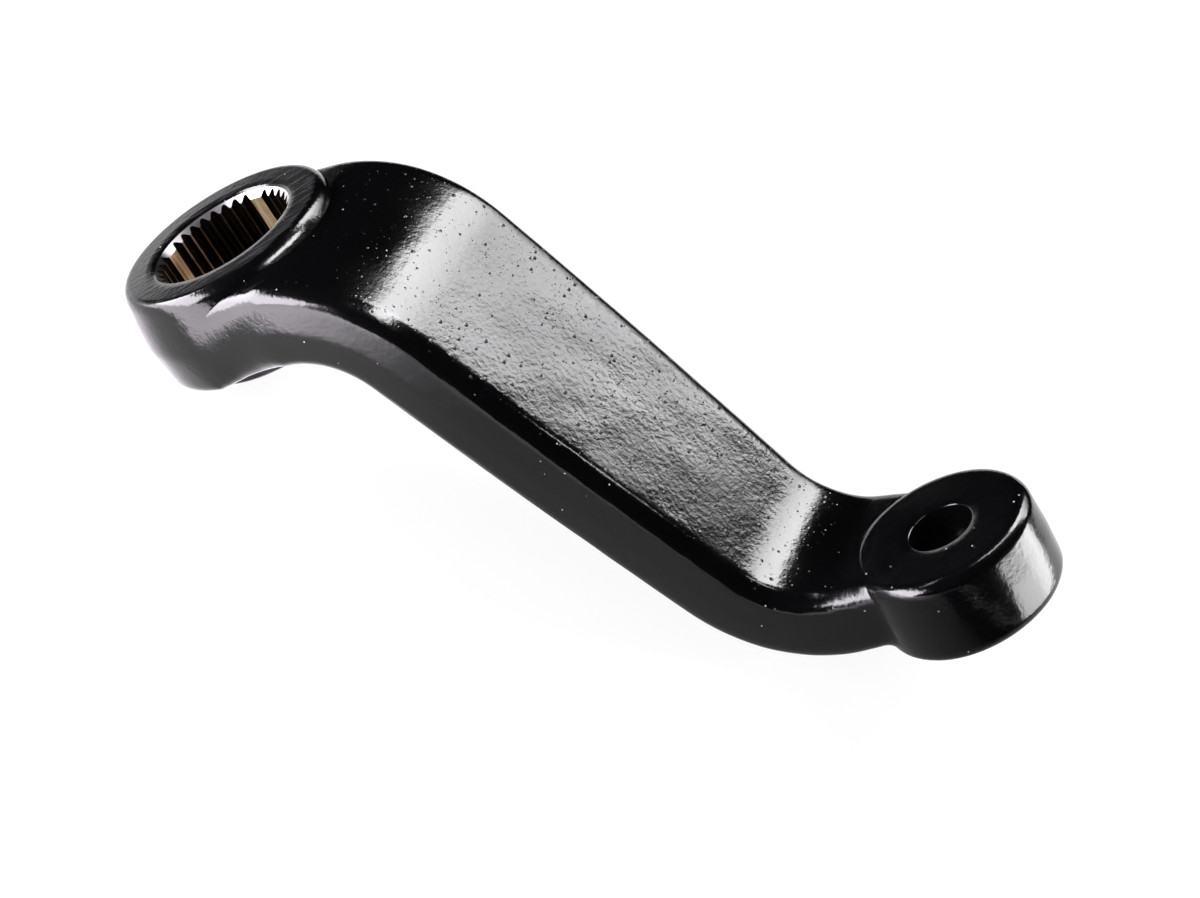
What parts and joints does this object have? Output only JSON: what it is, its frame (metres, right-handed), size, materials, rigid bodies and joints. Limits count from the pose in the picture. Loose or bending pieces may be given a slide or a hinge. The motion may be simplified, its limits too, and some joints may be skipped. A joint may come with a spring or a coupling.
{
  "type": "pitman arm",
  "caption": "Forged S-shaped drop pitman arm: splined boss at the high end, tapered ball-stud eye at the low end, gloss black paint.",
  "frame": {"origin": "on the splined bore's axis, in the plane of the boss's top pad", "axes": "+Z along the splined bore's axis, up out of the top pad; +X from the bore towards the eye"},
  "size_m": [0.173, 0.0544, 0.132],
  "materials": {
    "paint": "gloss black paint"
  },
  "bodies": {
    "root": {"pitman_arm": "paint"}
  },
  "joints": []
}
